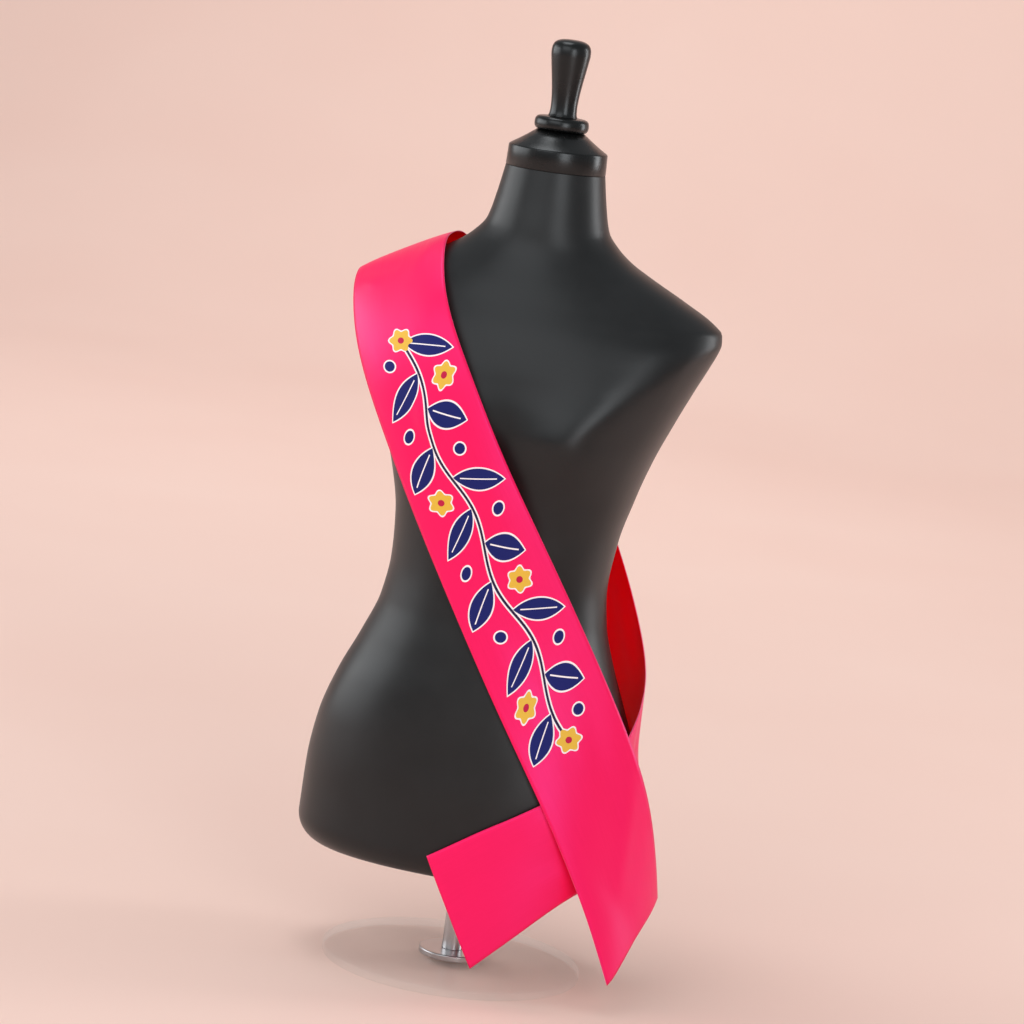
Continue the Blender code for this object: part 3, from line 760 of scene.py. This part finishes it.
    rough = addNode(tree, "ShaderNodeMapRange", None, {
        "Value": slubs.outputs["Fac"], "To Min": satin["smooth"], "To Max": satin["dull"],
    })
    inked = addNode(tree, "ShaderNodeMath", {"operation": "MULTIPLY_ADD"}, {
        0: made["white"], 1: satin["inkDulls"], 2: rough.outputs["Result"],
    })
    tree.links.new(inked.outputs[0], shader.inputs["Roughness"])
    return material


def makeSatinPlain(name, light, deep, roughness, glow):
    # the duller wrong side of the satin, and its heat-cut edge, whose lighter pink is a painted highlight
    # along the rim
    # glow: share of the light that comes through the cloth
    material, tree, shader = newMaterial(name, {
        "IOR": satin["ior"], "Roughness": roughness,
        "Specular IOR Level": satin["plainGloss"], "Specular Tint": linear(light),
        "Subsurface Weight": glow, "Subsurface Radius": satin["glowRadius"],
        "Subsurface Scale": satin["glowScale"],
    })
    uvNode = addNode(tree, "ShaderNodeUVMap", {"uv_map": "UVMap"})
    slubs = addThreads(tree, shader, uvNode, satin["plainDepth"])
    colour = addNode(tree, "ShaderNodeMix", {"data_type": "RGBA"}, {
        0: slubs.outputs["Fac"], 6: linear(light), 7: linear(deep),
    })
    tree.links.new(colour.outputs[2], shader.inputs["Base Color"])
    return material


reverseMaterial = makeSatinPlain("polyesterSatinReverse", satin["reverse"], satin["reverseDeep"],
                                 satin["reverseRough"], satin["glow"])
# the rim material's lighter pink is a painted highlight, not the cloth's own colour
paintedHighlightEdgeMaterial = makeSatinPlain("heatCutSatinEdgePaintedHighlight", satin["edge"], satin["edgePaintedHighlightDeep"], satin["edgeRough"], 0.0)
sashPiece, shoulderLength = buildSash([paintedHighlightEdgeMaterial, reverseMaterial, paintedHighlightEdgeMaterial])
sashPiece.data.materials[0] = makeSatinFace(shoulderLength)
print("satin and garland made")


# plain pale floor that sweeps up behind, soft studio light, and the camera

stage = {
    "colour": "#f2cfc2", "paler": "#f7d9cd", "roughness": 0.85, "cloudScale": 1.5,
    "front": -7.0, "back": 6.5, "half": 8.0, "height": 5.0, "sweep": 2.5, "sweepSteps": 32,
    "world": "#f0f3f6", "worldStrength": 0.38,
}
# place, point that it faces, width, height, watts, colour
lamps = {
    "topBox": ((-0.6, 0.0, 3.1), (0.0, 0.0, 0.50), 1.6, 1.2, 22.0, "#ffffff"),
    "leftBox": ((-3.3, -0.2, 1.15), (0.0, 0.0, 0.35), 3.4, 1.5, 52.0, "#ffffff"),
    "rightBox": ((2.1, 1.1, 1.0), (0.0, 0.0, 0.50), 0.6, 1.6, 19.0, "#ffffff"),
    "keyBox": ((-1.2, -3.2, 2.3), (0.0, 0.0, 0.45), 3.0, 2.0, 34.0, "#ffffff"),
    "frontStrip": ((1.60, -2.9, 1.1), (0.0, 0.0, 0.45), 1.2, 1.9, 34.0, "#ffffff"),
    "wallWash": ((-0.8, 2.4, 3.4), (-0.4, 6.5, 0.8), 4.0, 1.0, 92.0, "#ffffff"),
}
photoView = {
    "azimuth": 11.0, "elevation": 9.0, "roll": 7.6, "distance": 3.75, "lookHeight": 0.4445, "aside": 0.0019,
    "lens": 138.8, "sensorWidth": 36.0,
}


def buildStage():
    material, tree, shader = newMaterial("mattPaintedBoard", {"Roughness": stage["roughness"]})  # dull paint
    place = addNode(tree, "ShaderNodeTexCoord")
    grain = addNode(tree, "ShaderNodeTexNoise", None, {
        "Vector": place.outputs["Object"], "Scale": stage["cloudScale"], "Detail": 2.0,
    })
    colour = addNode(tree, "ShaderNodeMix", {"data_type": "RGBA"}, {
        0: grain.outputs["Fac"], 6: linear(stage["colour"]), 7: linear(stage["paler"]),
    })
    tree.links.new(colour.outputs[2], shader.inputs["Base Color"])
    bm = bmesh.new()
    radius = stage["sweep"]
    profile = [(stage["front"], 0.0), (stage["back"] - radius, 0.0)]
    for step in range(1, stage["sweepSteps"] + 1):
        turn = 0.5 * math.pi * step / stage["sweepSteps"]
        profile.append((stage["back"] - radius * (1.0 - math.sin(turn)), radius * (1.0 - math.cos(turn))))
    profile.append((stage["back"], stage["height"]))
    chain = [bm.verts.new((-stage["half"], y, z)) for y, z in profile]
    edges = [bm.edges.new(pair) for pair in zip(chain, chain[1:])]
    swept = bmesh.ops.extrude_edge_only(bm, edges=edges)
    bmesh.ops.translate(bm, verts=[item for item in swept["geom"] if isinstance(item, bmesh.types.BMVert)],
                        vec=(2.0 * stage["half"], 0.0, 0.0))
    bmesh.ops.recalc_face_normals(bm, faces=bm.faces)
    mesh = bpy.data.meshes.new("studioSweep")
    bm.to_mesh(mesh)
    bm.free()
    mesh.materials.append(material)
    mesh.shade_smooth()
    sweep = bpy.data.objects.new("studioSweep", mesh)
    bpy.context.scene.collection.objects.link(sweep)
    world = bpy.data.worlds.new("softRoom")
    world.use_nodes = True
    background = world.node_tree.nodes["Background"]
    background.inputs["Color"].default_value = linear(stage["world"])
    background.inputs["Strength"].default_value = stage["worldStrength"]
    bpy.context.scene.world = world


def buildLamps():
    for name, (place, target, width, height, watts, colour) in lamps.items():
        lamp = bpy.data.lights.new(name, "AREA")
        lamp.shape = "RECTANGLE"
        lamp.size, lamp.size_y = width, height
        lamp.energy = watts
        lamp.color = linear(colour)[:3]
        holder = bpy.data.objects.new(name, lamp)
        holder.location = place
        holder.rotation_euler = (Vector(target) - Vector(place)).to_track_quat("-Z", "Y").to_euler()
        bpy.context.scene.collection.objects.link(holder)


def buildCamera():
    azimuth, elevation, roll = (math.radians(photoView[key]) for key in ("azimuth", "elevation", "roll"))
    target = Vector((0.0, 0.0, photoView["lookHeight"]))
    level = math.cos(elevation)
    back = Vector((level * math.sin(azimuth), -level * math.cos(azimuth), math.sin(elevation)))
    right = Vector((0.0, 0.0, 1.0)).cross(back).normalized()
    up = back.cross(right)
    tiltedRight = right * math.cos(roll) + up * math.sin(roll)
    tiltedUp = up * math.cos(roll) - right * math.sin(roll)
    lens = bpy.data.cameras.new("photoCamera")
    lens.lens = photoView["lens"]
    lens.sensor_width = photoView["sensorWidth"]
    camera = bpy.data.objects.new("photoCamera", lens)
    turn = Matrix((tiltedRight, tiltedUp, back)).transposed().to_4x4()
    place = target + back * photoView["distance"] + tiltedRight * photoView["aside"]
    camera.matrix_world = Matrix.Translation(place) @ turn
    bpy.context.scene.collection.objects.link(camera)
    bpy.context.scene.camera = camera


buildStage()
buildLamps()
buildCamera()
bpy.context.scene.view_settings.view_transform = "Standard"
print("stage, lamps and camera made")
